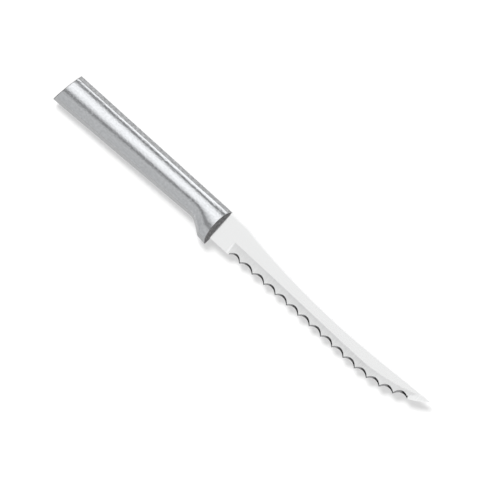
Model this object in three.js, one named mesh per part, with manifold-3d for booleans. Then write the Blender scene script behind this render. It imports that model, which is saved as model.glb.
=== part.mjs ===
// Tomato knife: a serrated steel blade whose tang is cast into a solid aluminium handle.
// Lengths are in millimetres and angles in degrees. While the pieces are drawn, x runs from the
// front of the handle towards the point, y is height above the top line of the handle, so depths
// below that line are negative y, and z is sideways with 0 in the middle of the blade.

import * as THREE from "three";
import { mergeVertices } from "three/addons/utils/BufferGeometryUtils.js";
import Module from "manifold-3d";

const wasm = await Module();
wasm.setup();

// Handle
const handleLength = 98.6; // front of the handle to the lower corner of the butt
const handleThickness = 11.2;
const buttHeight = 16.4;
const buttSlant = 9.5; // the butt's lower corner reaches further back than its upper corner
const neckHeight = 13.7; // least height, behind the guard
const neckReach = 13.4; // front of the handle back to the neck
const guardHeight = 19.0; // at the front of the handle
const guardFoot = 5.1; // length of the guard's lower edge
const guardFootRise = 0.5; // that edge is this much higher at its back end
const guardRamp = 11.4; // front of the handle back to where the ramp's line leaves the neck's line
const guardCrownDrop = 1.2; // the flat strip's middle drops this far from there to the front
const sideLand = 3.0; // width of the flat strip along the middle of each side
const sideFullness = 2.9; // power of the curve from the flat strip to the parting line
const guardFullness = 2.0; // the same power below the flat strip at the guard
const endDraft = 11; // both ends slope back from the parting line

// Blade
const bladeLength = 127.4; // front of the handle to the point
const bladeThickness = 1.25;
const spineDrop = 0.2; // depth of the spine where it leaves the handle
const spineStraight = 10.8; // the spine leaves the handle straight for this length
const spineStraightDrop = 0.15; // and falls this far along it
const spineShoulderRun = 7.0; // then it turns down over this length
const spineShoulderDrop = 1.7; // by this much
const waistBack = 55.6; // point back to the lowest place of the spine
const waistDepth = 5.48;
const waistHeelPull = 27.0; // how far the waist stays level towards the heel
const waistPointPull = 18.0; // and towards the point
const pointDepth = 3.6;
const pointSpineRun = 24.0; // last stretch of the spine
const pointSpineRise = 0.6; // which climbs this far to the point
const heelDepth = 15.4; // depth of the heel's lower edge
const ricassoLength = 9.9; // front of the handle to the start of the grind
const plungeRun = 0.35; // the start of the grind slants forward by this towards the edge
const plungeSlope = 40; // lean of the small wall where the grind starts
const heelPull = 18.0; // length over which the edge lifts behind the heel
const edgeRise = 0.62; // lift of the edge's middle part above the heel
const bellyBack = 39.0; // point back to where the edge starts to sweep up
const bellyDepth = 15.52; // depth of the edge there
const bellyHeelPull = 28.0; // how far the belly's curve reaches towards the heel
const bellyPointPull = 12.8; // and towards the point
const pointEdgeRun = 11.6; // last stretch of the edge
const pointEdgeRise = 9.85; // which climbs this far to the point

// Long grind on both sides of the blade
const grindHeelDepth = 9.25; // depth of the grind's upper line at the heel
const grindHeelPull = 24.0; // how far that line stays level behind the heel
const grindBellyDepth = 10.35; // its depth where the edge starts to sweep up
const grindBellyRise = 0.25; // bend of the line on both sides of that place
const grindPointDepth = 1.9; // its depth at the point, where it has run out over the spine
const grindPointPull = 11.0; // length of its last stretches
const grindPointRise = 5.9; // climb of the very last one
const grindHollow = 0.06; // how far the ground face is hollowed
const edgeThickness = 0.5; // thickness of the edge before the scallops are ground

// Scallops, ground from one side only
const scallopCount = 15;
const scallopDepth = 1.72;
const scallopAngle = 36; // between the groove and the side of the blade
const plainHeel = 1.42; // length of edge without scallops at the heel
const plainPoint = 10.8; // and at the point
const firstScallopShort = 0.7; // the first scallop gives this much width to the second

// Tang, and the casting round it
const tangLength = 62.0; // front of the handle to the end of the tang
const tangHeight = 8.4;
const tangDepth = 2.6; // depth of the tang's upper edge
const tangHoleDiameter = 5.0;
const tangHoleSetbacks = [17.0, 44.0]; // front of the handle back to each hole's middle
const castGap = 0.3; // between the steel and the aluminium cast round it

// Fineness of the curved faces, and the overhang of the solids that only cut
const sectionSteps = 12;
const rampSteps = 12;
const curveSteps = 24;
const grindSteps = 8;
const grindStep = 2.0;
const grooveSides = 120;
const halvings = 40; // of a curve's span, in the search for a height
const overhang = 3.0;

const radians = THREE.MathUtils.degToRad;
const halfBlade = bladeThickness / 2;
const halfEdge = edgeThickness / 2;
const halfHandle = handleThickness / 2;

// Solids and meshes

/** A closed geometry as a solid that can be joined and cut. */
function solidOf(geometry) {
  const bare = geometry.clone();
  bare.deleteAttribute("normal");
  bare.deleteAttribute("uv");
  const merged = mergeVertices(bare);
  const mesh = new wasm.Mesh({
    numProp: 3,
    vertProperties: new Float32Array(merged.attributes.position.array),
    triVerts: new Uint32Array(merged.index.array),
  });
  return new wasm.Manifold(mesh);
}

/** A finished solid as a named mesh. */
function meshOf(name, solid, material) {
  const cut = solid.getMesh();
  const geometry = new THREE.BufferGeometry();
  geometry.setAttribute("position", new THREE.BufferAttribute(cut.vertProperties, 3));
  geometry.setIndex(new THREE.BufferAttribute(cut.triVerts, 1));
  geometry.computeVertexNormals();
  const mesh = new THREE.Mesh(geometry, material);
  mesh.name = name;
  return mesh;
}

/** A closed skin through rings of equally many points, the rings running towards +x. */
function loft(rings) {
  const count = rings[0].length;
  const positions = rings.flat().flatMap((p) => [p.x, p.y, p.z]);
  const faces = [];
  for (let i = 0; i + 1 < rings.length; i += 1) {
    for (let j = 0; j < count; j += 1) {
      const here = i * count + j;
      const next = i * count + ((j + 1) % count);
      faces.push(here, next, here + count, next, next + count, here + count);
    }
  }
  for (const [first, last] of [[0, false], [rings.length - 1, true]]) {
    const middle = new THREE.Vector3();
    rings[first].forEach((p) => middle.addScaledVector(p, 1 / count));
    const hub = positions.length / 3;
    positions.push(middle.x, middle.y, middle.z);
    for (let j = 0; j < count; j += 1) {
      const here = first * count + j;
      const next = first * count + ((j + 1) % count);
      faces.push(hub, last ? here : next, last ? next : here);
    }
  }
  const geometry = new THREE.BufferGeometry();
  geometry.setAttribute("position", new THREE.Float32BufferAttribute(positions, 3));
  geometry.setIndex(faces);
  return geometry;
}

/** A flat shape as a plate of the given thickness, centred on z = 0. */
function plate(shape, thickness) {
  const geometry = new THREE.ExtrudeGeometry(shape, {
    depth: thickness,
    bevelEnabled: false,
    curveSegments: curveSteps,
  });
  return geometry.translate(0, 0, -thickness / 2);
}

// Blade outline

/** A cubic curve from a pair of end points and their control points, as [x, depth] pairs. */
function sweep(...pairs) {
  const points = pairs.map(([x, depth]) => new THREE.Vector2(x, -depth));
  return new THREE.CubicBezierCurve(...points);
}

/** Several curves joined end to end. */
function chain(...curves) {
  const path = new THREE.CurvePath();
  curves.forEach((curve) => path.add(curve));
  return path;
}

/** Height of a curve at a given x. */
function heightAt(path, x) {
  let low = 0;
  let high = 1;
  for (let i = 0; i < halvings; i += 1) {
    const middle = (low + high) / 2;
    if (path.getPoint(middle).x < x) {
      low = middle;
    } else {
      high = middle;
    }
  }
  return path.getPoint(high).y;
}

const waistX = bladeLength - waistBack;
const bellyX = bladeLength - bellyBack;
const heelX = ricassoLength + plungeRun;
const spineStraightDepth = spineDrop + spineStraightDrop;

const spine = chain(
  sweep(
    [spineStraight, spineStraightDepth],
    [spineStraight + spineShoulderRun, spineStraightDepth + spineShoulderDrop],
    [waistX - waistHeelPull, waistDepth],
    [waistX, waistDepth],
  ),
  sweep(
    [waistX, waistDepth],
    [waistX + waistPointPull, waistDepth],
    [bladeLength - pointSpineRun, pointDepth + pointSpineRise],
    [bladeLength, pointDepth],
  ),
);

const edge = chain(
  sweep(
    [heelX, heelDepth],
    [heelX + heelPull, heelDepth - edgeRise],
    [bellyX - bellyHeelPull, heelDepth - edgeRise],
    [bellyX, bellyDepth],
  ),
  sweep(
    [bellyX, bellyDepth],
    [bellyX + bellyPointPull, bellyDepth],
    [bladeLength - pointEdgeRun, pointDepth + pointEdgeRise],
    [bladeLength, pointDepth],
  ),
);

const grindLine = chain(
  sweep(
    [ricassoLength, grindHeelDepth],
    [ricassoLength + grindHeelPull, grindHeelDepth],
    [bellyX - bellyHeelPull, grindBellyDepth - grindBellyRise],
    [bellyX, grindBellyDepth],
  ),
  sweep(
    [bellyX, grindBellyDepth],
    [bellyX + grindPointPull, grindBellyDepth + grindBellyRise],
    [bladeLength - grindPointPull, grindPointDepth + grindPointRise],
    [bladeLength, grindPointDepth],
  ),
);

/** The back end of the tang from its lower to its upper side, grown on all sides. */
function tangEnd(grow) {
  const radius = tangHeight / 2;
  const middle = -(tangDepth + radius);
  const arc = new THREE.ArcCurve(
    radius - tangLength, middle, radius + grow, -Math.PI / 2, Math.PI / 2, true,
  );
  return arc.getPoints(curveSteps);
}

/** The round holes through the tang, shrunk by the given amount. */
function tangHoles(shrink) {
  const middle = -(tangDepth + tangHeight / 2);
  return tangHoleSetbacks.map((setback) => {
    const hole = new THREE.Path();
    hole.absarc(-setback, middle, tangHoleDiameter / 2 - shrink, 0, Math.PI * 2);
    return hole;
  });
}

/** The blank of the blade, with its tang, before any grinding. */
function blankShape() {
  const tangFoot = tangDepth + tangHeight;
  const shape = new THREE.Shape([
    new THREE.Vector2(castGap, -spineDrop),
    ...spine.getPoints(curveSteps),
    ...edge.getPoints(curveSteps).reverse().slice(1),
    new THREE.Vector2(castGap, -heelDepth),
    new THREE.Vector2(castGap, -tangFoot),
    ...tangEnd(0),
    new THREE.Vector2(castGap, -tangDepth),
  ]);
  shape.holes = tangHoles(0);
  return shape;
}

// Blade grinding

/** Half thickness of the ground blade, from 0 at the edge to 1 at the grind's upper line. */
function groundHalf(share) {
  const straight = halfEdge + (halfBlade - halfEdge) * share;
  return straight - 4 * grindHollow * share * (1 - share);
}

/** What the long grind takes off one side, with side 1 for +z and -1 for -z. */
function grindWaste(side) {
  const reach = halfBlade + overhang;
  const wall = Math.tan(radians(plungeSlope));
  const stations = [ricassoLength];
  for (let x = heelX + grindStep / 2; x < bladeLength; x += grindStep) {
    stations.push(x);
  }
  stations.push(bladeLength, bladeLength + overhang);
  const rings = stations.map((x, index) => {
    const inside = Math.min(Math.max(x, heelX), bladeLength);
    const low = heightAt(edge, inside);
    const high = heightAt(grindLine, inside);
    const profile = [];
    for (let i = 0; i <= grindSteps + 1; i += 1) {
      const share = i / grindSteps;
      profile.push([THREE.MathUtils.lerp(low, high, share), groundHalf(share)]);
    }
    const [top] = profile.at(-1);
    profile.push([top, reach], [low - overhang, reach], [low - overhang, halfEdge]);
    const ring = profile.map(([y, half]) => {
      const slant = (plungeRun * (high - y)) / (high - low);
      const start = slant + (halfBlade - half) * wall;
      return new THREE.Vector3(index === 0 ? x + start : x, y, side * half);
    });
    return side > 0 ? ring : ring.reverse();
  });
  return solidOf(loft(rings));
}

/** What one scallop's groove takes off, between two places on the edge. */
function scallopWaste(from, to) {
  const along = to.clone().sub(from);
  const chord = along.length();
  along.normalize();
  const inward = new THREE.Vector2(-along.y, along.x);
  const middle = from.clone().add(to).multiplyScalar(0.5);
  const width = heightAt(grindLine, middle.x) - heightAt(edge, middle.x);
  const back = groundHalf(scallopDepth / width);
  const angle = radians(scallopAngle);
  const rise = scallopDepth * Math.sin(angle) + (back - halfEdge) * Math.cos(angle);
  const radius = (chord * chord) / (8 * rise) + rise / 2;
  const length = 2 * (bladeThickness / Math.sin(angle) + overhang);

  const tangent = new THREE.Vector3(along.x, along.y, 0);
  const axis = new THREE.Vector3(inward.x, inward.y, 0).multiplyScalar(Math.cos(angle));
  axis.z = Math.sin(angle);
  const away = new THREE.Vector3(inward.x, inward.y, 0).multiplyScalar(-Math.sin(angle));
  away.z = Math.cos(angle);

  const deepest = middle.addScaledVector(inward, scallopDepth);
  const centre = new THREE.Vector3(deepest.x, deepest.y, -back);
  centre.addScaledVector(away, radius);
  const turn = new THREE.Matrix4().makeBasis(tangent, axis, tangent.clone().cross(axis));
  const groove = new THREE.CylinderGeometry(radius, radius, length, grooveSides);
  return solidOf(groove.applyMatrix4(turn.setPosition(centre)));
}

/** The places on the edge where two scallops meet, from the heel towards the point. */
function scallopTips() {
  const length = edge.getLength();
  const step = (length - plainHeel - plainPoint) / scallopCount;
  return Array.from({ length: scallopCount + 1 }, (_, i) => {
    const along = plainHeel + step * i - (i === 1 ? firstScallopShort : 0);
    return edge.getPoint(along / length);
  });
}

function makeBlade() {
  let blade = solidOf(plate(blankShape(), bladeThickness));
  for (const side of [1, -1]) {
    blade = blade.subtract(grindWaste(side));
  }
  const tips = scallopTips();
  for (let i = 0; i < scallopCount; i += 1) {
    blade = blade.subtract(scallopWaste(tips[i], tips[i + 1]));
  }
  const steel = new THREE.MeshStandardMaterial({ color: 0xd6d8da, roughness: 0.25, metalness: 1 });
  return meshOf("blade", blade, steel);
}

// Handle

/** Depth of the straight lower line of the handle, from the butt to the neck. */
function taperDepth(x) {
  const share = (x + handleLength) / (handleLength - neckReach);
  return THREE.MathUtils.lerp(buttHeight, neckHeight, share);
}

const ramp = new THREE.QuadraticBezierCurve(
  new THREE.Vector2(-neckReach, -neckHeight),
  new THREE.Vector2(-guardRamp, -taperDepth(-guardRamp)),
  new THREE.Vector2(-guardFoot, guardFootRise - guardHeight),
);

/** Outline of the lower edge of the handle and its guard, from behind the butt to past the front. */
function bellyLine() {
  const butt = -handleLength - overhang;
  const slope = guardFootRise / guardFoot;
  return [
    new THREE.Vector2(butt, -taperDepth(butt)),
    ...ramp.getPoints(rampSteps),
    new THREE.Vector2(overhang, -guardHeight - slope * overhang),
  ];
}

/** The closed section of the handle whose lowest place is the given one. */
function handleSection(low) {
  const depth = -low.y;
  const body = Math.min(depth, low.x < -neckReach ? depth : neckHeight);
  const guard = (depth - body) / (guardHeight - neckHeight);
  const ahead = Math.max(1 + low.x / guardRamp, 0);
  const crown = body / 2 + guardCrownDrop * ahead;
  const upper = crown - sideLand / 2;
  const lower = crown + sideLand / 2;
  const lowerPower = THREE.MathUtils.lerp(sideFullness, guardFullness, guard);
  const half = [];
  for (let i = 0; i <= sectionSteps; i += 1) {
    const out = 1 - i / sectionSteps;
    half.push([upper * (1 - out), halfHandle * (1 - out ** sideFullness)]);
  }
  for (let i = 0; i <= sectionSteps; i += 1) {
    const out = i / sectionSteps;
    half.push([lower + (depth - lower) * out, halfHandle * (1 - out ** lowerPower)]);
  }
  const other = half.slice(1, -1).reverse().map(([y, z]) => [y, -z]);
  return [...half, ...other].map(([y, z]) => new THREE.Vector3(low.x, -y, z));
}

/** What is cut off an end of the handle: two faces that slope back from the parting line. */
function endWaste(direction) {
  const height = 2 * guardHeight;
  const reach = handleThickness;
  const back = reach * Math.tan(radians(endDraft));
  const shape = new THREE.Shape([
    new THREE.Vector2(0, 0),
    new THREE.Vector2(-direction * back, reach),
    new THREE.Vector2(direction * 3 * overhang, reach),
    new THREE.Vector2(direction * 3 * overhang, -reach),
    new THREE.Vector2(-direction * back, -reach),
  ]);
  return plate(shape, 2 * height).rotateX(Math.PI / 2);
}

/** The pocket that the tang fills, which leaves a peg standing in each of the tang's holes. */
function tangPocket() {
  const shape = new THREE.Shape([
    new THREE.Vector2(overhang, castGap - tangDepth),
    new THREE.Vector2(overhang, -tangDepth - tangHeight - castGap),
    ...tangEnd(castGap),
  ]);
  shape.holes = tangHoles(castGap);
  return solidOf(plate(shape, bladeThickness + 2 * castGap));
}

function makeHandle() {
  const front = endWaste(1);
  const butt = endWaste(-1).rotateZ(-radians(buttSlant)).translate(-handleLength, -buttHeight, 0);
  const handle = solidOf(loft(bellyLine().map(handleSection)))
    .subtract(solidOf(front))
    .subtract(solidOf(butt))
    .subtract(tangPocket());
  const aluminium = new THREE.MeshStandardMaterial({ color: 0xc4c6c9, roughness: 0.35, metalness: 1 });
  return meshOf("handle", handle, aluminium);
}

// The knife lies on its side, with its origin under the middle of its outer box
const knife = new THREE.Group();
knife.add(makeHandle(), makeBlade());
const box = new THREE.Box3().setFromObject(knife);
const middle = box.getCenter(new THREE.Vector3());
knife.position.set(-middle.x, -middle.y, -box.min.z);

export default knife;
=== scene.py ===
"""Tomato knife on a pale floor: a scalloped steel blade cast into a satin aluminium handle.

Sizes in the classes are millimetres in the drawing frame: x runs from the front of the handle
to the point, y is height above the handle's top line, so depths below it are negative y, and z
is sideways from the middle of the blade. Blender's objects are in metres in the row frame.
"""

import logging
import math
from collections.abc import Callable
from dataclasses import dataclass, field
from enum import IntEnum
from functools import cached_property, partial

import bpy
import numpy as np
from mathutils import Matrix, Vector


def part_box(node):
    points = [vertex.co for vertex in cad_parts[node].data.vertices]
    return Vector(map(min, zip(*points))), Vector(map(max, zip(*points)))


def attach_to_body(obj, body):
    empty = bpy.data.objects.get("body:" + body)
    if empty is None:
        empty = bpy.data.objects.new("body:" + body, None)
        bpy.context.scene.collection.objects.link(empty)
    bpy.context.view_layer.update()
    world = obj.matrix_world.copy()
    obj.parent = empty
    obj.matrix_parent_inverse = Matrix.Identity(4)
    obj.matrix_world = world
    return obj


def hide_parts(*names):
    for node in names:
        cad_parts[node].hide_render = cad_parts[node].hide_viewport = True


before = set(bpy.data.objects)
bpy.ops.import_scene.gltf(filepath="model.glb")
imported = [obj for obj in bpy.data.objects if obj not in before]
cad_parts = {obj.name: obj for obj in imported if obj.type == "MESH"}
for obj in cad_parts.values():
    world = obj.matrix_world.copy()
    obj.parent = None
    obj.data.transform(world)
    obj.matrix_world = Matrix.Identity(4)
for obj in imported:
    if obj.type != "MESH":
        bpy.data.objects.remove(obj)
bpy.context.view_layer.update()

LOG = logging.getLogger("tomato_knife")
MM = 0.001
PAINTED_SHADE_BAND = "painted_shade_band"
MOTTLE = "finish_mottle"

Points = np.ndarray
Pair = tuple[float, float]
Triple = tuple[float, float, float]
Stops = tuple[Pair, ...]
Socket = bpy.types.NodeSocket


def smooth(t: Points) -> Points:
    """Eases 0 to 1 with level ends, and holds outside that range."""
    t = np.clip(t, 0.0, 1.0)
    return t * t * (3.0 - 2.0 * t)


def lerp(a: Points, b: Points, t: Points) -> Points:
    """Goes from a at t = 0 to b at t = 1."""
    return a + (b - a) * t


def linked(name: str, data: bpy.types.ID) -> bpy.types.Object:
    """Makes an object and links it to the scene.

    Args:
        name: Name of the object.
        data: Its mesh, light or camera.

    Returns:
        The new object.
    """
    made = bpy.data.objects.new(name, data)
    bpy.context.scene.collection.objects.link(made)
    return made


@dataclass(frozen=True)
class DrawingFrame:
    """Where the drawing frame lies in the row frame.

    Attributes:
        origin: The drawing frame's zero point in the row frame, in metres.
    """

    origin: Vector

    @classmethod
    def of_handle(cls) -> "DrawingFrame":
        """Takes the zero point from the front, the top line and the middle of the CAD handle."""
        low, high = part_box("handle")
        return cls(Vector((high.x, high.y, (low.z + high.z) / 2)))

    def to_row(self, points: Points) -> Points:
        """Turns drawing millimetres into row frame metres."""
        return np.asarray(points, float) * MM + np.array(self.origin)


@dataclass
class Skin:
    """A closed mesh made of rings of equally many points.

    Attributes:
        rings: Points of all rings, by ring, place in the ring and axis.
        faces: Faces by point numbers.
        finishes: Material number of each face.
        extra: Points that belong to no ring, numbered after the rings' points.
    """

    rings: Points
    faces: list[tuple[int, ...]] = field(default_factory=list)
    finishes: list[int] = field(default_factory=list)
    extra: list[Points] = field(default_factory=list)

    @property
    def round_count(self) -> int:
        """Number of points in a ring."""
        return self.rings.shape[1]

    @property
    def last(self) -> int:
        """Number of the last ring."""
        return self.rings.shape[0] - 1

    def number(self, ring: int, place: int) -> int:
        """Number of a ring's point, where places wrap round."""
        return ring * self.round_count + place % self.round_count

    def add_face(self, corners: list[int], finish: int) -> None:
        """Adds a face, leaving out corners that repeat.

        Args:
            corners: The corners' numbers.
            finish: The face's material number.
        """
        kept = tuple(dict.fromkeys(corners))
        if len(kept) > 2:
            self.faces.append(kept)
            self.finishes.append(finish)

    def add_extra(self, point: Points) -> int:
        """Adds a point outside the rings and gives its number."""
        self.extra.append(np.asarray(point, float))
        return self.rings.shape[0] * self.round_count + len(self.extra) - 1

    def join(self, finish_of: Callable[[int, int], int], turned: bool = False) -> None:
        """Joins each ring to the next.

        Args:
            finish_of: Gives a face's material number from its ring and its place in the ring.
            turned: Whether the faces would otherwise look inwards.
        """
        for ring in range(self.last):
            for k in range(self.round_count):
                near = [self.number(ring, k), self.number(ring, k + 1)]
                far = [self.number(ring + 1, k), self.number(ring + 1, k + 1)]
                corners = near[::-1] + far if turned else near + far[::-1]
                self.add_face(corners, finish_of(ring, k))

    def to_object(self, name: str, place: DrawingFrame) -> bpy.types.Object:
        """Makes the mesh object in the row frame.

        Args:
            name: Name of the piece.
            place: Where the drawing frame lies.

        Returns:
            The new object, linked to the scene, with smooth faces that look outwards.
        """
        points = self.rings.reshape(-1, 3)
        if self.extra:
            points = np.vstack([points, *self.extra])
        mesh = bpy.data.meshes.new(name)
        mesh.from_pydata(place.to_row(points).tolist(), [], self.faces)
        mesh.polygons.foreach_set("material_index", self.finishes)
        mesh.polygons.foreach_set("use_smooth", [True] * len(self.faces))
        mesh.validate()
        mesh.update()
        return linked(name, mesh)


class NoiseDetail(IntEnum):
    """How many finer waves ride on a noise."""

    PLAIN = 1
    SOFT = 2
    FINE = 4


class Nodes:
    """A small hand for wiring the nodes of a material or a world."""

    NOISE_MIDDLE = (0.3, 0.7)

    def __init__(self, owner: bpy.types.Material | bpy.types.World) -> None:
        """Starts from an empty node tree.

        Args:
            owner: The material or world that the nodes belong to.
        """
        owner.use_nodes = True
        self.tree = owner.node_tree
        self.tree.nodes.clear()

    def add(self, kind: str, links: dict | None = None, **settings: object) -> bpy.types.Node:
        """Adds a node.

        Args:
            kind: Blender's node type, without its ShaderNode prefix.
            links: Sockets or plain values for the inputs, by name or number.
            settings: Properties of the node.

        Returns:
            The new node.
        """
        node = self.tree.nodes.new("ShaderNode" + kind)
        for name, value in settings.items():
            setattr(node, name, value)
        for name, value in (links or {}).items():
            if isinstance(value, Socket):
                self.tree.links.new(value, node.inputs[name])
            else:
                node.inputs[name].default_value = value
        return node

    def noise(self, stretch: Triple, detail: NoiseDetail) -> Socket:
        """Adds a noise.

        Args:
            stretch: Waves per metre along each axis.
            detail: How many finer waves ride on these.

        Returns:
            The noise, from 0 to 1.
        """
        where = self.add("TexCoord").outputs["Object"]
        scaled = self.add("Mapping", {"Vector": where, "Scale": stretch}).outputs[0]
        wave = self.add("TexNoise", {"Vector": scaled, "Scale": 1.0, "Detail": float(detail)})
        return wave.outputs["Fac"]

    def spread(self, value: Socket, low: float, high: float) -> Socket:
        """Maps the middle part of a noise to the given range."""
        ends = zip(("From Min", "From Max", "To Min", "To Max"), (*self.NOISE_MIDDLE, low, high))
        return self.add("MapRange", {"Value": value, **dict(ends)}).outputs[0]

    def share(self, value: Socket, low: float, high: float) -> Socket:
        """Maps the given range to 0 to 1."""
        return self.add("MapRange", {"Value": value, "From Min": low, "From Max": high}).outputs[0]

    def mix(self, share: Socket, a: object, b: object, kind: str) -> Socket:
        """Goes from a at a share of 0 to b at 1, where kind is Blender's data type."""
        return self.add("Mix", {"Factor": share, "A": a, "B": b}, data_type=kind).outputs["Result"]

    def mark(self, name: str) -> Socket:
        """Reads one of the mesh's own marks."""
        return self.add("Attribute", attribute_name=name).outputs["Fac"]

    def math(self, operation: str, *values: object) -> Socket:
        """Adds a Math node over the given sockets or numbers."""
        return self.add("Math", dict(enumerate(values)), operation=operation).outputs[0]

    def tint(self, colour: object, strength: Socket) -> Socket:
        """Multiplies a colour by a value."""
        return self.add("VectorMath", {0: colour, "Scale": strength}, operation="SCALE").outputs[0]


@dataclass(frozen=True)
class MetalFinish:
    """A metal surface with fine lines and specks.

    Attributes:
        name: Name of the material.
        colour: Reflectance of the clean metal.
        roughness: Least and greatest roughness along the lines.
        line_stretch: Waves per metre of the fine lines along each axis.
        line_depth: Height of the fine lines, in metres.
        line_tint: How much the lines vary the colour.
        speck_size: Waves per metre of the specks.
        speck_depth: Height of the specks, in metres.
        speck_tint: How much the specks vary the colour.
        painted_shade_colour: Darker colour painted where the mesh's own band mark is 1, if it has one,
        as painted shade.
        band_roughness: Roughness that the band adds.
        mottle: How much the colour varies where the mesh's mottle mark is 1.
        mottle_size: Waves per metre of the mottle.
        cloud_stretch: Waves per metre of wide patches along each axis.
        cloud_range: Least and greatest share of the roughness in those patches.
    """

    name: str
    colour: Triple
    roughness: Pair
    line_stretch: Triple
    line_depth: float
    line_tint: float = 0.05
    speck_size: float = 1800.0
    speck_depth: float = 0.000002
    speck_tint: float = 0.06
    painted_shade_colour: Triple | None = None
    band_roughness: float = 0.0
    mottle: float = 0.0
    mottle_size: float = 1000.0
    cloud_stretch: Triple = (70.0, 160.0, 160.0)
    cloud_range: Pair = (0.9, 1.12)

    def material(self) -> bpy.types.Material:
        """Builds the material.

        Returns:
            The new material.
        """
        made = bpy.data.materials.new(self.name)
        nodes = Nodes(made)
        lines = nodes.noise(self.line_stretch, NoiseDetail.FINE)
        specks = nodes.noise((self.speck_size,) * 3, NoiseDetail.SOFT)
        clouds = nodes.noise(self.cloud_stretch, NoiseDetail.SOFT)
        shade = nodes.math(
            "MULTIPLY",
            nodes.spread(lines, 1.0 - self.line_tint, 1.0 + self.line_tint),
            nodes.spread(specks, 1.0 - self.speck_tint, 1.0 + self.speck_tint),
        )
        if self.mottle:
            grains = nodes.noise((self.mottle_size,) * 3, NoiseDetail.PLAIN)
            grains = nodes.spread(grains, -self.mottle, self.mottle)
            varied = nodes.math("MULTIPLY_ADD", nodes.mark(MOTTLE), grains, 1.0)
            shade = nodes.math("MULTIPLY", shade, varied)
        colour: object = self.colour
        rough = nodes.spread(lines, *self.roughness)
        # Painted shade: where the band mark is 1, a darker colour is blended in and roughness is
        # added.
        if self.painted_shade_colour:
            band = nodes.mark(PAINTED_SHADE_BAND)
            colour = nodes.mix(band, (*self.colour, 1.0), (*self.painted_shade_colour, 1.0), "RGBA")
            rough = nodes.math("MULTIPLY_ADD", band, self.band_roughness, rough)
        rough = nodes.math("MULTIPLY", rough, nodes.spread(clouds, *self.cloud_range))
        relief = {"Height": lines, "Strength": 1.0, "Distance": self.line_depth}
        bump = nodes.add("Bump", relief).outputs[0]
        relief = {"Height": specks, "Strength": 1.0, "Distance": self.speck_depth, "Normal": bump}
        bump = nodes.add("Bump", relief).outputs[0]
        surface = {"Base Color": nodes.tint(colour, shade), "Metallic": 1.0, "Roughness": rough}
        shader = nodes.add("BsdfPrincipled", {**surface, "Normal": bump})
        nodes.add("OutputMaterial", {"Surface": shader.outputs[0]})
        return made


SATIN_ALUMINIUM = MetalFinish(
    name="satin_aluminium",
    colour=(0.765, 0.78, 0.80),
    roughness=(0.08, 0.12),
    line_stretch=(90.0, 3500.0, 3500.0),
    line_depth=0.000004,
    line_tint=0.04,
    speck_size=950.0,
    speck_depth=0.00007,
    # Painted shade on the edge bands: this darker colour stands in for the dark reflection along them.
    painted_shade_colour=(0.352, 0.356, 0.361),
    band_roughness=0.2,
    mottle=0.32,
)
# The ends' dark grey is partly the cast metal's own dull tone and partly painted shade.
CAST_ALUMINIUM = MetalFinish(
    name="cast_aluminium",
    colour=(0.154, 0.151, 0.152),
    roughness=(0.42, 0.55),
    line_stretch=(2200.0, 2200.0, 2200.0),
    line_depth=0.00006,
    line_tint=0.35,
    speck_size=1300.0,
    speck_depth=0.00006,
    speck_tint=0.5,
)
POLISHED_STEEL = MetalFinish(
    name="polished_steel",
    colour=(0.93, 0.935, 0.935),
    roughness=(0.12, 0.17),
    line_stretch=(60.0, 4200.0, 4200.0),
    line_depth=0.000002,
    line_tint=0.012,
    speck_tint=0.01,
)
GROUND_STEEL = MetalFinish(
    name="ground_steel",
    colour=(0.94, 0.945, 0.945),
    roughness=(0.3, 0.38),
    line_stretch=(3600.0, 160.0, 160.0),
    line_depth=0.000008,
    speck_tint=0.03,
)
# Painted shade: the scallops' dark colour stands in for the dark reflections in their grooves, and the
# still darker colour on each scallop's side towards the point is painted shade too.
SCALLOP_STEEL_PAINTED_SHADE = MetalFinish(
    name="scallop_steel_painted_shade",
    colour=(0.125, 0.125, 0.127),
    roughness=(0.2, 0.3),
    line_stretch=(3600.0, 400.0, 400.0),
    line_depth=0.000008,
    line_tint=0.1,
    painted_shade_colour=(0.02, 0.02, 0.021),
)


class HandleFinish(IntEnum):
    """Material numbers on the handle."""

    SIDE = 0
    END = 1


class BladeFinish(IntEnum):
    """Material numbers on the blade."""

    FLAT = 0
    GROUND = 1
    SCALLOP = 2


@dataclass(frozen=True)
class SideCurve:
    """A side of the handle's section, from its crown to the parting line.

    Attributes:
        lean: Greatest lean before the edge band, in degrees.
        reach: From the crown to the edge band, on the surface.
        power: Power of the lean's growth from the crown to the edge band.
        turn: Length over which the side turns into the band.
        band_lean: Lean of the edge band, in degrees.
        band_width: Width of that band on the surface.
        ridge_radius: Rounding along the parting line.
        points: Number of points on the curve.
        point_shares: Shares of those points up to the band's turn, the band, the ridge and its end.
        samples: Number of steps in which the curve is worked out.
    """

    lean: float
    reach: float
    power: float = 0.8
    turn: float = 0.7
    band_lean: float = 64.0
    band_width: float = 2.7
    ridge_radius: float = 0.6
    points: int = 60
    point_shares: tuple[float, ...] = (0.5, 0.7, 0.9, 1.0)
    samples: int = 4000

    @cached_property
    def shares(self) -> tuple[Points, Points]:
        """Works out the curve, from the crown out.

        Returns:
            Each point's share of the way to the parting line, and of the half thickness.
        """
        ridge = self.ridge_radius * math.radians(90.0 - self.band_lean)
        total = self.reach + self.turn + self.band_width + ridge
        s = np.linspace(0.0, total, self.samples)
        lean = self.lean * np.minimum(s / self.reach, 1.0) ** self.power
        lean += (self.band_lean - self.lean) * smooth((s - self.reach) / self.turn)
        lean += (90.0 - self.band_lean) * np.clip((s - total + ridge) / ridge, 0.0, 1.0)
        ways = [np.cumsum(part(np.radians(lean))) for part in (np.cos, np.sin)]
        down, fall = ((way - way[0]) / (way[-1] - way[0]) for way in ways)
        marks = [0.0, self.reach, self.reach + self.turn, total - ridge, total]
        pick = np.interp(np.linspace(0.0, 1.0, self.points), (0.0, *self.point_shares), marks)
        return np.interp(pick, s, down), 1.0 - np.interp(pick, s, fall)


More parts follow.
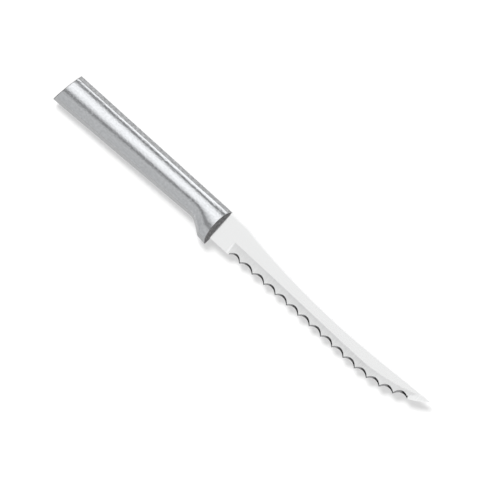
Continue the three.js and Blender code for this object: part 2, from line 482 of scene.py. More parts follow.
@dataclass
class HandleCasting:
    """The solid handle, cast round the tang.

    Attributes:
        length: From the front to the lower corner of the butt.
        half_thickness: From the parting plane to the crown of a side.
        butt_height: Height at the butt.
        butt_slant: Lean of the butt, in degrees.
        neck_height: Least height, behind the guard.
        neck_reach: From the front back to the neck.
        guard_height: Height at the front.
        guard_foot: Length of the guard's lower edge.
        guard_foot_rise: Rise of that edge at its back end.
        guard_ramp: From the front back to where the ramp's line leaves the neck's line.
        guard_crown_drop: How far the crown drops on its way to the front.
        guard_crown_run: From the front back to where it starts to drop.
        end_draft: Slope of both ends back from the parting line, in degrees.
        ridge_softness: How far aside the rounding of the ends' ridge on that line reaches.
        upper: Curve of the sides above the crown.
        lower: Curve of the sides below the crown.
        guard_upper: Curve of the guard's sides above the crown.
        guard_lower: Curve of the guard's sides below the crown.
        upper_band: Leans, in degrees, between which the satin gives way to the edge band, which
        gets painted shade and more roughness, on faces that look up.
        lower_band: The same on faces that look down.
        corner_radius: Rounding round both ends.
        corner_share: Share of that rounding along the parting line.
        foot_softness: Rounding length of the guard's lower corner.
        foot_passes: How often it is smoothed over that length.
        line_step: Spacing of the points on the lower outline.
        ramp_points: Points on the guard's ramp before that.
        body_stations: Rings along the body.
        guard_stations: Rings along the guard.
        guard_margin: How far behind the neck the guard's rings start.
        settle_rounds: How often a ring is fitted to the slope of the ends.
        corner_steps: Rings in the rounding of an end.
        cap_columns: Faces across an end.
    """

    length: float = 98.6
    half_thickness: float = 5.6
    butt_height: float = 16.4
    butt_slant: float = 9.5
    neck_height: float = 13.7
    neck_reach: float = 13.4
    guard_height: float = 19.0
    guard_foot: float = 5.1
    guard_foot_rise: float = 0.5
    guard_ramp: float = 11.4
    guard_crown_drop: float = 2.7
    guard_crown_run: float = 18.0
    end_draft: float = 11.0
    ridge_softness: float = 0.4
    upper: SideCurve = SideCurve(lean=43.0, reach=5.85, turn=0.5, band_width=3.25)
    lower: SideCurve = SideCurve(lean=35.0, reach=6.6, band_width=3.0)
    guard_upper: SideCurve = SideCurve(35.5, 9.0, power=1.0, turn=0.4, band_lean=57.0, band_width=2.75)
    guard_lower: SideCurve = SideCurve(34.0, 8.0, power=1.1, band_lean=60.0)
    upper_band: Pair = (43.0, 47.0)
    lower_band: Pair = (40.0, 48.0)
    corner_radius: float = 0.3
    corner_share: float = 0.3
    foot_softness: float = 0.25
    foot_passes: int = 2
    line_step: float = 0.05
    ramp_points: int = 200
    body_stations: int = 130
    guard_stations: int = 100
    guard_margin: float = 2.0
    settle_rounds: int = 6
    corner_steps: int = 4
    cap_columns: int = 12

    @property
    def half_count(self) -> int:
        """Number of points in the +z half of a ring."""
        return self.upper.points + self.lower.points - 1

    def taper_depth(self, x: Points) -> Points:
        """Gives the depth of the straight lower line from the butt to the neck."""
        share = (x + self.length) / (self.length - self.neck_reach)
        return lerp(self.butt_height, self.neck_height, share)

    @cached_property
    def lower_line(self) -> tuple[Points, Points]:
        """Works out the handle's lower outline, carried on a little past both ends.

        Returns:
            Closely spaced x and depth.
        """
        t = np.linspace(0.0, 1.0, self.ramp_points)[:, None]
        start = np.array((-self.neck_reach, self.neck_height))
        bend = np.array((-self.guard_ramp, self.taper_depth(-self.guard_ramp)))
        foot = np.array((-self.guard_foot, self.guard_height - self.guard_foot_rise))
        ramp = (1 - t) ** 2 * start + 2 * t * (1 - t) * bend + t**2 * foot
        past = self.guard_foot
        slope = self.guard_foot_rise / self.guard_foot
        butt = np.array((-self.length - past, self.taper_depth(-self.length - past)))
        front = np.array((past, self.guard_height + slope * past))
        line = np.vstack([butt, ramp, front])
        x = np.arange(butt[0], front[0], self.line_step)
        depth = np.interp(x, line[:, 0], line[:, 1])
        width = int(self.foot_softness / self.line_step) * 2 + 1
        for _ in range(self.foot_passes):
            padded = np.pad(depth, width // 2, mode="reflect", reflect_type="odd")
            depth = np.convolve(padded, np.ones(width) / width, mode="valid")
        return x, depth

    def section(self, x: Points) -> tuple[Points, Points]:
        """Gives height and sideways place of the +z half of the section at each x.

        Args:
            x: Place along the handle of each point of the half section.

        Returns:
            Heights and sideways places, from the upper to the lower parting line.
        """
        depth = np.interp(x, *self.lower_line)
        body = np.where(x < -self.neck_reach, depth, np.minimum(depth, self.neck_height))
        guard = np.clip((depth - body) / (self.guard_height - self.neck_height), 0.0, 1.0)
        ahead = np.clip(1.0 + x / self.guard_crown_run, 0.0, 1.0)
        crown = body / 2 + self.guard_crown_drop * ahead**2
        upper = slice(0, self.upper.points - 1)
        lower = slice(self.upper.points - 1, None)
        y = np.empty_like(x)
        z = np.empty_like(x)
        pairs = zip(self.upper.shares, self.guard_upper.shares)
        down, out = (lerp(a[:0:-1], b[:0:-1], ahead[upper]) for a, b in pairs)
        y[upper] = -crown[upper] * (1.0 - down)
        z[upper] = self.half_thickness * out
        pairs = zip(self.lower.shares, self.guard_lower.shares)
        down, out = (lerp(a, b, guard[lower] ** 2) for a, b in pairs)
        y[lower] = -crown[lower] - (depth[lower] - crown[lower]) * down
        z[lower] = self.half_thickness * out
        return y, z

    def draft(self, z: Points) -> Points:
        """Gives how far an end slopes back at a sideways place, with a softened ridge."""
        aside = np.sqrt(z**2 + self.ridge_softness**2) - self.ridge_softness
        return aside * math.tan(math.radians(self.end_draft))

    def front_x(self, y: Points, z: Points) -> Points:
        """Gives the front face's x, which is the same at all heights."""
        return -self.draft(z)

    def butt_x(self, y: Points, z: Points) -> Points:
        """Gives the butt face's x.

        Args:
            y: Heights.
            z: Sideways places.

        Returns:
            Places along the handle.
        """
        slant = math.radians(self.butt_slant)
        rise = (y + self.butt_height) * math.tan(slant)
        return -self.length + rise + self.draft(z) / math.cos(slant)

    def stations(self) -> Points:
        """Spaces the rings out, closer together at the guard.

        Returns:
            Their places, as shares of the length.
        """
        guard_start = 1.0 - (self.neck_reach + self.guard_margin) / self.length
        body = np.linspace(0.0, guard_start, self.body_stations, endpoint=False)
        return np.concatenate([body, np.linspace(guard_start, 1.0, self.guard_stations)])

    def half_ring(self, share: float, inset: float, outward: float) -> Points:
        """Gives the +z half of a ring.

        Args:
            share: Place along the handle, from 0 at the butt to 1 at the front.
            inset: How far the ring is drawn in for the rounding of an end.
            outward: How far the ring stands beyond its place, towards the nearer end.

        Returns:
            Points from the upper to the lower parting line.
        """
        x = np.full(self.half_count, -self.length * (1.0 - share))
        for _ in range(self.settle_rounds):
            y, z = self.section(x)
            back = self.butt_x(y, z) + self.corner_radius
            front = self.front_x(y, z) - self.corner_radius
            x = lerp(back, front, share)
        middle, reach = (y[0] + y[-1]) / 2, (y[0] - y[-1]) / 2
        y = middle + (y - middle) * (1.0 - self.corner_share * inset / reach)
        z = z * (1.0 - inset / self.half_thickness)
        x = x + (outward if share > 0.5 else -outward)
        return np.stack([x, y, z], axis=1)

    def rings(self) -> Points:
        """Builds all rings, with both ends rounded.

        Returns:
            The rings' points from the butt to the front.
        """
        radius = self.corner_radius
        turns = np.radians(np.linspace(90.0, 0.0, self.corner_steps, endpoint=False))
        ends = [(radius * (1.0 - math.cos(t)), radius * math.sin(t)) for t in turns]
        places = [(0.0, inset, outward) for inset, outward in ends]
        places += [(share, 0.0, 0.0) for share in self.stations()]
        places += [(1.0, inset, outward) for inset, outward in reversed(ends)]
        halves = [self.half_ring(*place) for place in places]
        return np.stack([np.vstack([half, half[-2:0:-1] * (1.0, 1.0, -1.0)]) for half in halves])

    def close_end(self, skin: Skin, ring: int, face_x: Callable[[Points, Points], Points]) -> None:
        """Closes an end with a face that slopes back from the parting line.

        Args:
            skin: The handle's skin.
            ring: Number of the ring to close.
            face_x: Gives the face's x from height and sideways place.
        """
        edge = skin.rings[ring]
        shift = edge[0, 0] - face_x(edge[0, 1], edge[0, 2])
        rows = []
        for place, (x, y, reach) in enumerate(edge[: self.half_count]):
            left, right = skin.number(ring, place), skin.number(ring, -place)
            row = [left] * (self.cap_columns + 1)
            if left != right:
                lift = x - face_x(y, reach)
                for k, z in enumerate(np.linspace(reach, -reach, self.cap_columns + 1)[1:-1], 1):
                    row[k] = skin.add_extra((face_x(y, z) + lerp(shift, lift, abs(z) / reach), y, z))
                row[-1] = right
            rows.append(row)
        for upper, lower in zip(rows, rows[1:]):
            for k in range(self.cap_columns):
                corners = [upper[k], upper[k + 1], lower[k + 1], lower[k]]
                skin.add_face(corners[::-1] if ring else corners, HandleFinish.END)

    def finish_of(self, skin: Skin, ring: int, place: int) -> HandleFinish:
        """Picks the finish of a face: the sides' finish, except on the rounding of the ends."""
        on_side = self.corner_steps <= ring < skin.last - self.corner_steps
        return HandleFinish.SIDE if on_side else HandleFinish.END

    def build(self, place: DrawingFrame) -> bpy.types.Object:
        """Builds the handle.

        Args:
            place: Where the drawing frame lies.

        Returns:
            The handle's object.
        """
        skin = Skin(self.rings())
        skin.join(partial(self.finish_of, skin))
        self.close_end(skin, 0, self.butt_x)
        self.close_end(skin, skin.last, self.front_x)
        return skin.to_object("handle_casting", place)

    def dress(self, piece: bpy.types.Object) -> None:
        """Gives the handle its finishes and marks the edge bands, which get painted shade and more
        roughness, and of which the upper is mottled.

        Args:
            piece: The handle's object.
        """
        mesh = piece.data
        for finish in (SATIN_ALUMINIUM, CAST_ALUMINIUM):
            mesh.materials.append(finish.material())
        normals = np.empty(len(mesh.vertices) * 3, np.float32)
        mesh.vertices.foreach_get("normal", normals)
        lean = np.degrees(np.arccos(np.clip(np.abs(normals[2::3]), 0.0, 1.0)))
        # Painted shade: these marks darken the colour of the edge bands.
        bands = (self.upper_band, self.lower_band)
        upper, lower = (smooth((lean - low) / (high - low)) for low, high in bands)
        looks_up = normals[1::3] > 0.0
        marks = {PAINTED_SHADE_BAND: np.where(looks_up, upper, lower), MOTTLE: upper * looks_up}
        for name, values in marks.items():
            mark = mesh.attributes.new(name, "FLOAT", "POINT")
            mark.data.foreach_set("value", values.astype(np.float32))


@dataclass(frozen=True)
class LongLine:
    """A long line of the blade: two cubic curves that meet at its middle.

    Places are x and depth, and an arm leads from a place to the control point beside it.

    Attributes:
        start: Where the curves start.
        leave: Arm at the start.
        before: Arm at the middle, towards the start.
        middle: Where the curves meet.
        after: Arm at the middle, towards the end.
        arrive: Arm at the end.
        end: Where the curves end.
        lead: Where a straight stretch that leads to the start begins, if there is one.
        samples: Number of points on each curve.
    """

    start: Pair
    leave: Pair
    before: Pair
    middle: Pair
    after: Pair
    arrive: Pair
    end: Pair
    lead: tuple[Pair, ...] = ()
    samples: int = 400

    @cached_property
    def points(self) -> Points:
        """Works out the line.

        Returns:
            Closely spaced points along it, as x and y.
        """
        start, middle, end = np.array((self.start, self.middle, self.end))
        spans = (
            (start, start + self.leave, middle + self.before, middle),
            (middle, middle + self.after, end + self.arrive, end),
        )
        t = np.linspace(0.0, 1.0, self.samples)[:, None]
        weights = ((1 - t) ** 3, 3 * t * (1 - t) ** 2, 3 * t**2 * (1 - t), t**3)
        first, second = (sum(w * p for w, p in zip(weights, span)) for span in spans)
        return np.vstack([*self.lead, first, second[1:]]) * (1.0, -1.0)

    def height(self, x: Points) -> Points:
        """Gives the height over x, held level beyond the ends."""
        return np.interp(x, self.points[:, 0], self.points[:, 1])


@dataclass(frozen=True)
class RowLimits:
    """Limits that keep the rows of a blade ring apart. Shares are of the ring's height.

    Attributes:
        cut: Least height of the cut edge.
        cut_share: Its least share, which holds where it gives less height.
        cut_most: Its greatest share.
        heel_cut: Height of the same rows beside the handle, where nothing is cut.
        ground_share: Least share of the ground face.
        flat_share: Least share of the flat.
        turn_share: Greatest share of the spine's rounding.
        turn_half: Greatest part of the half thickness that the rounding takes.
        samples: Number of steps in which a ring is searched for the cut.
    """

    cut: float = 0.25
    cut_share: float = 0.1
    cut_most: float = 0.6
    heel_cut: float = 0.95
    ground_share: float = 0.1
    flat_share: float = 0.02
    turn_share: float = 0.08
    turn_half: float = 0.8
    samples: int = 1500


@dataclass
class ScallopedBlade:
    """The blade, ground on both sides and scalloped from one.

    Attributes:
        spine: The spine, which runs straight beside the handle.
        edge: The edge from the heel to the point, before it is scalloped.
        grind: The upper line of the grind, which runs out over the spine at the point.
        ricasso: From the front of the handle to the start of the grind.
        plunge_run: How far that start slants forward towards the edge.
        plunge_width: Length over which the grind sinks in there.
        half_thickness: Half the thickness of the steel.
        half_edge: Half the thickness of the ground edge before it is scalloped.
        grind_hollow: How far the ground face is hollowed.
        least_grind: Least height that the ground face counts with.
        scallops: Number of scallops.
        scallop_depth: Depth of a scallop into the edge.
        scallop_angle: Between a scallop's groove and the side of the blade, in degrees.
        groove_share: Share of the groove's radius up to which its round is followed.
        plain_heel: Length of edge without scallops at the heel.
        plain_point: The same at the point.
        first_scallop_short: Width that the first scallop gives to the second.
        painted_shade_side: Shares of a scallop's width, from the heel, between which its colour turns
            to
        a darker painted shade.
        point_bevel: Lean of the plain point's cutting bevel, in degrees.
        keen: Thickness left at the cutting edge.
        spine_radius: Rounding of the spine's corners.
        sunk: How far the blade reaches into the handle.
        slant_hold: Length past the heel over which the mesh's lines keep the plunge's slant.
        slant_fade: Length over which they then lose it.
        sweep_start: Where they start to turn square to the edge's sweep.
        sweep_run: Length over which they do.
        tip_gap: From the last of them to the point.
        tip_power: Below 1, it draws them together towards the point.
        scallop_columns: Lines in a scallop.
        ricasso_columns: Lines on the ricasso.
        plunge_columns: Lines from there to the first scallop.
        point_columns: Lines on the plain point.
        edge_rows: Rows on the cut edge.
        ground_rows: Rows on the ground face.
        flat_rows: Rows on the flat.
        round_rows: Rows on a corner of the spine.
        limits: Limits on these rows.
    """

    spine: LongLine = LongLine(
        start=(10.8, 0.35),
        leave=(7.0, 1.7),
        before=(-27.0, 0.0),
        middle=(71.8, 5.48),
        after=(18.0, 0.0),
        arrive=(-24.0, 0.6),
        end=(127.4, 3.6),
        lead=((0.0, 0.2),),
    )
    edge: LongLine = LongLine(
        start=(10.25, 15.4),
        leave=(18.0, -0.62),
        before=(-28.0, -0.74),
        middle=(88.4, 15.52),
        after=(12.8, 0.0),
        arrive=(-11.6, 9.85),
        end=(127.4, 3.6),
    )
    grind: LongLine = LongLine(
        start=(9.9, 9.25),
        leave=(24.0, 0.0),
        before=(-28.0, -0.25),
        middle=(88.4, 10.35),
        after=(11.0, 0.25),
        arrive=(-11.0, 5.9),
        end=(127.4, 1.9),
    )
    ricasso: float = 9.9
    plunge_run: float = 0.35
    plunge_width: float = 0.75
    half_thickness: float = 0.625
    half_edge: float = 0.25
    grind_hollow: float = 0.06
    least_grind: float = 0.05
    scallops: int = 15
    scallop_depth: float = 1.72
    scallop_angle: float = 36.0
    groove_share: float = 0.98
    plain_heel: float = 1.42
    plain_point: float = 10.8
    first_scallop_short: float = 0.7
    painted_shade_side: Pair = (0.45, 0.75)
    point_bevel: float = 22.0
    keen: float = 0.03
    spine_radius: float = 0.15
    sunk: float = 1.0
    slant_hold: float = 1.0
    slant_fade: float = 30.0
    sweep_start: float = 80.0
    sweep_run: float = 20.0
    tip_gap: float = 0.06
    tip_power: float = 0.8
    scallop_columns: int = 36
    ricasso_columns: int = 24
    plunge_columns: int = 24
    point_columns: int = 48
    edge_rows: int = 6
    ground_rows: int = 8
    flat_rows: int = 8
    round_rows: int = 4
    limits: RowLimits = RowLimits()

    @property
    def round_count(self) -> int:
        """Number of points in a ring."""
        return 2 * (self.edge_rows + self.ground_rows + self.flat_rows + 1 + self.round_rows)

    def ground_share(self, x: Points, y: Points) -> Points:
        """Gives the share of the way from the edge to the grind line.

        Args:
            x: Places along the blade.
            y: Heights.

        Returns:
            Shares from 0 at the edge to 1 at the grind line and above it.
        """
        low = self.edge.height(x)
        high = np.maximum(self.grind.height(x), low + self.least_grind)
        return np.clip((y - low) / (high - low), 0.0, 1.0)

    def ground_half(self, share: Points) -> Points:
        """Gives the ground blade's half thickness, from 0 at the edge to 1 at the grind line."""
        straight = lerp(self.half_edge, self.half_thickness, share)
        return straight - 4.0 * self.grind_hollow * share * (1.0 - share)

    def plunge_x(self, share: Points) -> Points:
        """Gives the x at which the grind starts, from 0 at the edge to 1 at the grind line."""
        return self.ricasso + self.plunge_run * (1.0 - share)

    def half_at(self, x: Points, y: Points) -> Points:
        """Gives the half thickness at a place, with the plunge where the grind starts.

        Args:
            x: Places along the blade.
            y: Heights.

        Returns:
            Half thicknesses.
        """
        share = self.ground_share(x, y)
        sunk = smooth((x - self.plunge_x(share)) / self.plunge_width)
        return lerp(self.half_thickness, self.ground_half(share), sunk)

    @cached_property
    def tips(self) -> Points:
        """Works out where scallops start and end.

        Returns:
            Places on the edge, as x and y.
        """
        chain = self.edge.points
        along = np.concatenate([[0.0], np.cumsum(np.linalg.norm(np.diff(chain, axis=0), axis=1))])
        want = np.linspace(self.plain_heel, along[-1] - self.plain_point, self.scallops + 1)
        want[1] -= self.first_scallop_short
        return np.stack([np.interp(want, along, chain[:, k]) for k in (0, 1)], axis=1)

    def groove(self, number: int, x: Points, y: Points) -> Points:
        """Gives the sideways place of a scallop's groove.

        Args:
            number: The scallop, counted from the heel.
            x: Places along the blade.
            y: Heights.

        Returns:
            How far towards +z the groove's surface lies.
        """
        first, last = self.tips[number : number + 2]
        chord = np.linalg.norm(last - first)
        along = (last - first) / chord
        middle = (first + last) / 2
        q = (x - middle[0]) * along[0] + (y - middle[1]) * along[1]
        n = (y - middle[1]) * along[0] - (x - middle[0]) * along[1]
        angle = math.radians(self.scallop_angle)
        width = self.grind.height(middle[0]) - self.edge.height(middle[0])
        back = self.ground_half(self.scallop_depth / width)
        rise = self.scallop_depth * math.sin(angle) + (back - self.half_edge) * math.cos(angle)
        radius = chord**2 / (8.0 * rise) + rise / 2.0
        q = np.clip(q, -self.groove_share * radius, self.groove_share * radius)
        lift = (radius - np.sqrt(radius**2 - q**2)) / math.cos(angle)
        return (n - self.scallop_depth) * math.tan(angle) + lift - back

    def columns(self) -> tuple[Points, Points, list[int]]:
        """Gives the lines from the edge to the spine on which the mesh is built.

        Returns:
            Places on the edge, places on the spine, and each line's scallop: its number, -1
            beside the handle, or the count of scallops on the plain point.
        """
        tips = self.tips[:, 0]
        plunge = self.ricasso - self.plunge_run
        spans = [(-self.sunk, plunge, self.ricasso_columns), (plunge, tips[0], self.plunge_columns)]
        spans += [(low, high, self.scallop_columns) for low, high in zip(tips, tips[1:])]
        parts = [np.linspace(*span, endpoint=False) for span in spans]
        ahead = np.linspace(0.0, 1.0, self.point_columns) ** self.tip_power
        parts.append(lerp(tips[-1], self.edge.end[0] - self.tip_gap, ahead))
        numbers = (-1, -1, *range(self.scallops + 1))
        kinds = [number for number, part in zip(numbers, parts) for _ in part]
        x = np.concatenate(parts)
        y = self.edge.height(x)
        heel_depth = self.edge.start[1]
        tall = self.spine.height(tips[0]) + heel_depth
        slant = self.plunge_run * tall / (self.grind.height(tips[0]) + heel_depth)
        faded = smooth((x - tips[0] - self.slant_hold) / self.slant_fade)
        lean = slant * smooth(x / self.ricasso) * (1.0 - faded)
        chain_x, chain_y = self.edge.points.T
        slope = np.interp(x, chain_x, np.gradient(chain_y, chain_x))
        swept = smooth((x - self.sweep_start) / self.sweep_run)
        lean += (self.spine.height(x) - y) * np.maximum(slope, 0.0) * swept
        spine_x = x - lean
        spine = np.stack([spine_x, self.spine.height(spine_x)], axis=1)
        return np.stack([x, y], axis=1), spine, kinds

    def front(self, kind: int, x: Points, y: Points, inward: Points) -> tuple[Points, Points]:
        """Gives the +z side before and after its edge is cut.

        Args:
            kind: The line's scallop, as columns gives it.
            x: Places along the blade.
            y: Heights.
            inward: Distance from the edge.

        Returns:
            The uncut side and the cut that is taken from it, as sideways places.
        """
        half = self.half_at(x, y)
        if kind < 0:
            return half, np.full_like(half, self.half_thickness)
        cut = self.groove(min(kind, self.scallops - 1), x, y)
        if kind == self.scallops:
            bevel = -half + self.keen + inward * math.tan(math.radians(self.point_bevel))
            cut = np.minimum(cut, bevel)
        return half, cut

    def turn_share(self, tall: float) -> float:
        """Gives the share of a ring's height that the spine's rounding takes."""
        return min(self.spine_radius / tall, self.limits.turn_share)

    def rows(self, ends: tuple[Points, Points], tall: float, kind: int) -> Points:
        """Spaces out the rows of a ring from the edge to the start of the spine's rounding.

        Args:
            ends: The line's places on the edge and on the spine, as columns.
            tall: Distance between them.
            kind: The line's scallop, as columns gives it.

        Returns:
            The rows' shares of the way from the edge to the spine.
        """
        limits = self.limits
        fine = np.linspace(0.0, 1.0, limits.samples)
        x, y = lerp(*ends, fine)
        half, cut = self.front(kind, x, y, fine * tall)
        open_edge = np.minimum(half, cut) + half < self.keen
        start = fine[np.argmin(open_edge)]
        below = cut < half
        top = fine[np.argmin(below | (fine < start))] if below.any() else start
        top = min(max(top, start + min(limits.cut / tall, limits.cut_share)), limits.cut_most)
        if kind < 0:
            top = limits.heel_cut / tall
        line = np.interp(0.0, y - self.grind.height(x), fine)
        high = 1.0 - self.turn_share(tall)
        line = min(max(line, top + limits.ground_share), high - limits.flat_share)
        cut_rows = np.linspace(start, top, self.edge_rows, endpoint=False)
        ground_rows = np.linspace(top, line, self.ground_rows, endpoint=False)
        flat_rows = np.linspace(line, high, self.flat_rows + 1)
        return np.concatenate([cut_rows, ground_rows, flat_rows])

    def ring(self, edge: Points, spine: Points, kind: int) -> Points:
        """Gives one ring: up the +z side, over the spine and down the -z side.

        Args:
            edge: The line's place on the edge.
            spine: The line's place on the spine.
            kind: The line's scallop, as columns gives it.

        Returns:
            The ring's points.
        """
        ends = (edge[:, None], spine[:, None])
        tall = np.linalg.norm(spine - edge)
        rows = self.rows(ends, tall, kind)
        x, y = lerp(*ends, rows)
        half, cut = self.front(kind, x, y, rows * tall)
        up = np.stack([x, y, np.minimum(half, cut)], axis=1)
        down = np.stack([x, y, -half], axis=1)[::-1]
        up[0, 2] = max(up[0, 2], down[-1, 2] + self.keen)
        turn = self.turn_share(tall)
        radius = min(self.spine_radius, self.limits.turn_half * half[-1])
        angles = np.radians(np.linspace(0.0, 90.0, self.round_rows + 1)[1:])
        x, y = lerp(*ends, 1.0 - turn + turn * np.sin(angles))
        over = np.stack([x, y, half[-1] - radius + radius * np.cos(angles)], axis=1)
        return np.vstack([up, over, over[::-1] * (1.0, 1.0, -1.0), down])

    def finish_of(self, skin: Skin, kinds: list[int], ring: int, row: int) -> BladeFinish:
        """Picks the finish of a face.

        Args:
            skin: The blade's skin.
            kinds: Each line's scallop, as columns gives it.
            ring: Number of the face's ring.
            row: The face's place in its ring.

        Returns:
            The finish.
        """
        count = skin.round_count
        x, y, _ = (skin.rings[ring, row] + skin.rings[ring + 1, (row + 1) % count]) / 2
        ground = self.edge_rows + self.ground_rows
        if x < self.plunge_x(self.ground_share(x, y)):
            return BladeFinish.FLAT
        if row < self.edge_rows and 0 <= kinds[ring] < self.scallops:
            return BladeFinish.SCALLOP
        if row < ground or row >= count - 1 - ground:
            return BladeFinish.GROUND
        return BladeFinish.FLAT

    def build(self, place: DrawingFrame) -> bpy.types.Object:
        """Builds the blade.

        Args:
            place: Where the drawing frame lies.

        Returns:
            The blade's object.
        """
        edge, spine, kinds = self.columns()
        skin = Skin(np.stack([self.ring(*line) for line in zip(edge, spine, kinds)]))
        skin.join(partial(self.finish_of, skin, kinds), turned=True)
        count = skin.round_count
        for ring in (0, skin.last):
            for k in range(count // 2 - 1):
                places = (k, k + 1, count - 2 - k, count - 1 - k)
                corners = [skin.number(ring, spot) for spot in places]
                skin.add_face(corners if ring == 0 else corners[::-1], BladeFinish.FLAT)
        return skin.to_object("blade_steel", place)

    def dress(self, piece: bpy.types.Object) -> None:
        """Gives the blade its finishes, marks the painted shade on its scallops and keeps its edge,
        scallops and grind lines crisp.

        Args:
            piece: The blade's object.
        """
        mesh = piece.data
        for finish in (POLISHED_STEEL, GROUND_STEEL, SCALLOP_STEEL_PAINTED_SHADE):
            mesh.materials.append(finish.material())
        count = self.round_count
        top, line = self.edge_rows, self.edge_rows + self.ground_rows
        crisp = [0, top, line, count - 1, count - 1 - line]
        pairs = np.empty(len(mesh.edges) * 2, np.int32)
        mesh.edges.foreach_get("vertices", pairs)
        lines, rows = np.divmod(pairs.reshape(-1, 2), count)
        sharp = (rows[:, 0] == rows[:, 1]) & np.isin(rows[:, 0], crisp)
        kinds = np.array(self.columns()[2])
        meets = np.flatnonzero(np.diff(kinds)) + 1
        cusp = (lines[:, 0] == lines[:, 1]) & np.isin(lines[:, 0], meets)
        sharp |= cusp & (rows.max(axis=1) <= top)
        mesh.attributes.new("sharp_edge", "BOOLEAN", "EDGE").data.foreach_set("value", sharp)
        self.mark_painted_shade(mesh, kinds)

    def mark_painted_shade(self, mesh: bpy.types.Mesh, kinds: Points) -> None:
        """Marks painted shade on the side of each scallop towards the point, which is darker.

        Args:
            mesh: The blade's mesh.
            kinds: Each line's scallop, as columns gives it.
        """
        heel = int(np.argmax(kinds == 0))
        first = np.array([min(face.vertices) // self.round_count for face in mesh.polygons])
        share = ((first - heel) % self.scallop_columns + 0.5) / self.scallop_columns
        low, high = self.painted_shade_side
        # Painted shade: this mark darkens each scallop's side towards the point.
        mark = mesh.attributes.new(PAINTED_SHADE_BAND, "FLOAT", "FACE")
        mark.data.foreach_set("value", smooth((share - low) / (high - low)).astype(np.float32))


@dataclass(frozen=True)
class LightTent:
    """The soft studio round the knife, as brightness by direction.

    Attributes:
        butt_side: Brightness by angle from straight up, in degrees, towards the spine's side, in
            directions that lean to the butt.
        middle: The same in directions square to the knife.
        point_side: The same in directions that lean to the point.
        turns: How far a direction points towards the blade's point where each of these gives
            way to the next.
        along: Share of that brightness by how far the direction points towards the blade's point.
        around: Greatest angle either way from straight up, in degrees.
    """

    butt_side: Stops = (
        (-90, 0.75), (-80, 0.6), (-70, 0.55), (-45, 0.57), (-37, 0.57), (-30, 0.45), (-27, 0.36),
        (-24, 0.29), (-21, 0.28), (-18, 0.345), (-15, 0.43), (-8, 0.7), (0, 0.91), (10, 1.06),
        (20, 1.17), (27, 1.2), (39, 1.16), (46, 1.04), (50, 0.83), (54, 0.6), (58, 0.36), (62, 0.24),
        (65, 0.29), (68, 0.58), (71, 1.0), (74, 1.22), (78, 1.28), (92, 1.28), (100, 0.9),
    )
    middle: Stops = (
        (-90, 0.4), (-55, 0.5), (-20, 0.95), (0, 0.91), (20, 1.0), (35, 1.12), (42, 1.04), (46, 0.83),
        (50, 0.6), (54, 0.38), (58, 0.26), (61, 0.28), (64, 0.5), (67, 0.84), (70, 1.05), (74, 1.1),
        (100, 0.9),
    )
    point_side: Stops = (
        (-90, 2.5), (-50, 2.5), (-38, 1.0), (-15, 1.0), (0, 0.98), (39, 0.98), (48, 0.8), (60, 0.3),
        (100, 0.3),
    )
    turns: tuple[Pair, Pair] = ((-0.2, -0.08), (0.0, 0.2))
    along: Stops = ((-1.0, 0.6), (-0.7, 0.9), (-0.5, 1.0), (0.8, 1.0), (0.92, 0.8), (1.0, 0.3))
    around: float = 180.0

    @staticmethod
    def ramp(nodes: Nodes, value: Socket, stops: Stops, span: float) -> Socket:
        """Reads a brightness off a list of stops.

        Args:
            nodes: The world's nodes.
            value: The place.
            stops: Places and their brightness.
            span: Places run from minus to plus this value.

        Returns:
            The brightness.
        """
        made = nodes.add("ValToRGB", {"Fac": nodes.share(value, -span, span)})
        elements = made.color_ramp.elements
        elements.remove(elements[1])
        for number, (where, level) in enumerate(stops):
            position = (where + span) / (2 * span)
            element = elements[0] if number == 0 else elements.new(position)
            element.position = position
            element.color = (level,) * 3 + (1.0,)
        return made.outputs["Color"]

    def build(self) -> None:
        """Sets the scene's world."""
        world = bpy.data.worlds.new("light_tent")
        bpy.context.scene.world = world
        nodes = Nodes(world)
        direction = nodes.add("TexCoord").outputs["Generated"]
        x, y, z = nodes.add("SeparateXYZ", {"Vector": direction}).outputs
        degrees = nodes.math("DEGREES", nodes.math("ARCTAN2", y, z))
        across = self.ramp(nodes, degrees, self.butt_side, self.around)
        for stops, turn in zip((self.middle, self.point_side), self.turns):
            ahead = self.ramp(nodes, degrees, stops, self.around)
            across = nodes.mix(nodes.share(x, *turn), across, ahead, "FLOAT")
        level = nodes.math("MULTIPLY", across, self.ramp(nodes, x, self.along, 1.0))
        light = nodes.add("Background", {"Color": level, "Strength": 1.0})
        nodes.add("OutputWorld", {"Surface": light.outputs[0]})


@dataclass(frozen=True)
class KeyLamp:
    """A soft lamp that throws the short shadow below the knife.

    Attributes:
        toward: Direction from the knife to the lamp.
        distance: Distance to the lamp, in metres.
        size: Width of the lamp, in metres.
        power: Power in watts.
    """

    toward: Triple = (-0.34, 0.33, 0.88)
    distance: float = 1.2
    size: float = 0.55
    power: float = 16.5

    def build(self, target: Vector) -> None:
        """Places the lamp.

        Args:
            target: What it points at, in the row frame.
        """
        data = bpy.data.lights.new("key_lamp", "AREA")
        data.shape = "DISK"
        data.size = self.size
        data.energy = self.power
        lamp = linked("key_lamp", data)
        direction = Vector(self.toward).normalized()
        lamp.location = target + direction * self.distance
        lamp.rotation_mode = "QUATERNION"
        lamp.rotation_quaternion = (-direction).to_track_quat("-Z", "Y")
        lamp.visible_glossy = False


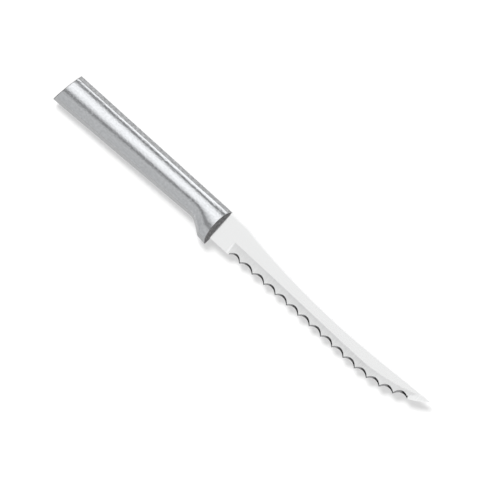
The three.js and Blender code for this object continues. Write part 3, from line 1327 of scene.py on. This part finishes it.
@dataclass(frozen=True)
class PaleFloor:
    """The white floor that the knife lies on.

    Attributes:
        radius: Radius in metres.
        drop: How far it lies below the knife, in metres.
        colour: Reflectance.
        glow: White that is added where the floor is seen.
        rim_points: Number of points round its rim.
    """

    radius: float = 6.0
    drop: float = 0.0001
    colour: float = 0.42
    glow: float = 0.338
    rim_points: int = 128

    def material(self) -> bpy.types.Material:
        """Builds a matt white that keeps the shadow.

        Returns:
            The new material.
        """
        made = bpy.data.materials.new("pale_floor")
        nodes = Nodes(made)
        path = nodes.add("LightPath").outputs
        seen = nodes.math("ADD", path["Is Camera Ray"], path["Is Glossy Ray"])
        seen = nodes.math("ADD", seen, path["Is Transmission Ray"])
        glow = nodes.math("MULTIPLY", nodes.math("MINIMUM", seen, 1.0), self.glow)
        light = nodes.add("Emission", {"Color": (1.0, 1.0, 1.0, 1.0), "Strength": glow})
        matt = nodes.add("BsdfDiffuse", {"Color": (self.colour, self.colour, self.colour, 1.0)})
        both = nodes.add("AddShader", {0: matt.outputs[0], 1: light.outputs[0]})
        nodes.add("OutputMaterial", {"Surface": both.outputs[0]})
        return made

    def build(self) -> None:
        """Builds the floor."""
        turns = np.linspace(0.0, 2.0 * math.pi, self.rim_points, endpoint=False)
        rim = [(self.radius * math.cos(t), self.radius * math.sin(t), -self.drop) for t in turns]
        mesh = bpy.data.meshes.new("pale_floor")
        mesh.from_pydata(rim, [], [tuple(range(len(rim)))])
        mesh.materials.append(self.material())
        floor = linked("pale_floor", mesh)


@dataclass(frozen=True)
class PhotoCamera:
    """The camera at the photograph's viewing angle.

    Attributes:
        tilt: Lean of the view from straight down, towards the point, in degrees.
        roll: Angle of the handle's top line in the picture, in degrees below level.
        target: What the picture's middle shows, in drawing millimetres.
        distance: Distance to the target, in millimetres.
        lens: Focal length in millimetres.
        sensor: Width of the sensor in millimetres.
        sight: Furthest distance that it shows, in metres.
    """

    tilt: float = 14.5
    roll: float = 42.14
    target: Triple = (17.75, -7.25, 0.0)
    distance: float = 4557.2
    lens: float = 724.44
    sensor: float = 36.0
    sight: float = 50.0

    def build(self, place: DrawingFrame) -> Vector:
        """Places the camera.

        Args:
            place: Where the drawing frame lies.

        Returns:
            The camera's target in the row frame.
        """
        tilt, roll = math.radians(self.tilt), math.radians(self.roll)
        back = Vector((math.sin(tilt), 0.0, math.cos(tilt)))
        level = Vector((math.cos(tilt), 0.0, -math.sin(tilt)))
        across = Vector((0.0, 1.0, 0.0))
        right = math.cos(roll) * level + math.sin(roll) * across
        up = math.cos(roll) * across - math.sin(roll) * level
        target = Vector(place.to_row(self.target))
        data = bpy.data.cameras.new("photo_camera")
        data.sensor_width = self.sensor
        data.lens = self.lens
        data.clip_end = self.sight
        camera = linked("photo_camera", data)
        turned = Matrix((right, up, back)).transposed().to_4x4()
        camera.matrix_world = Matrix.Translation(target + back * self.distance * MM) @ turned
        bpy.context.scene.camera = camera
        return target


def attach(piece: bpy.types.Object, node: str) -> None:
    """Lets a piece stand for a CAD node on the knife's one body.

    Args:
        piece: The dressed piece.
        node: The CAD node, which is hidden.
    """
    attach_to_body(piece, "root")
    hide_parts(node)
    LOG.info("%s stands for %s with %d faces", piece.name, node, len(piece.data.polygons))


def main() -> None:
    """Builds the knife, its floor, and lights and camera."""
    logging.basicConfig(level=logging.INFO, format="%(name)s: %(message)s")
    place = DrawingFrame.of_handle()
    target = PhotoCamera().build(place)
    for part, node in ((HandleCasting(), "handle"), (ScallopedBlade(), "blade")):
        piece = part.build(place)
        part.dress(piece)
        attach(piece, node)
    PaleFloor().build()
    LightTent().build()
    KeyLamp().build(target)
    bpy.context.scene.view_settings.view_transform = "Standard"


if __name__ == "__main__":
    main()
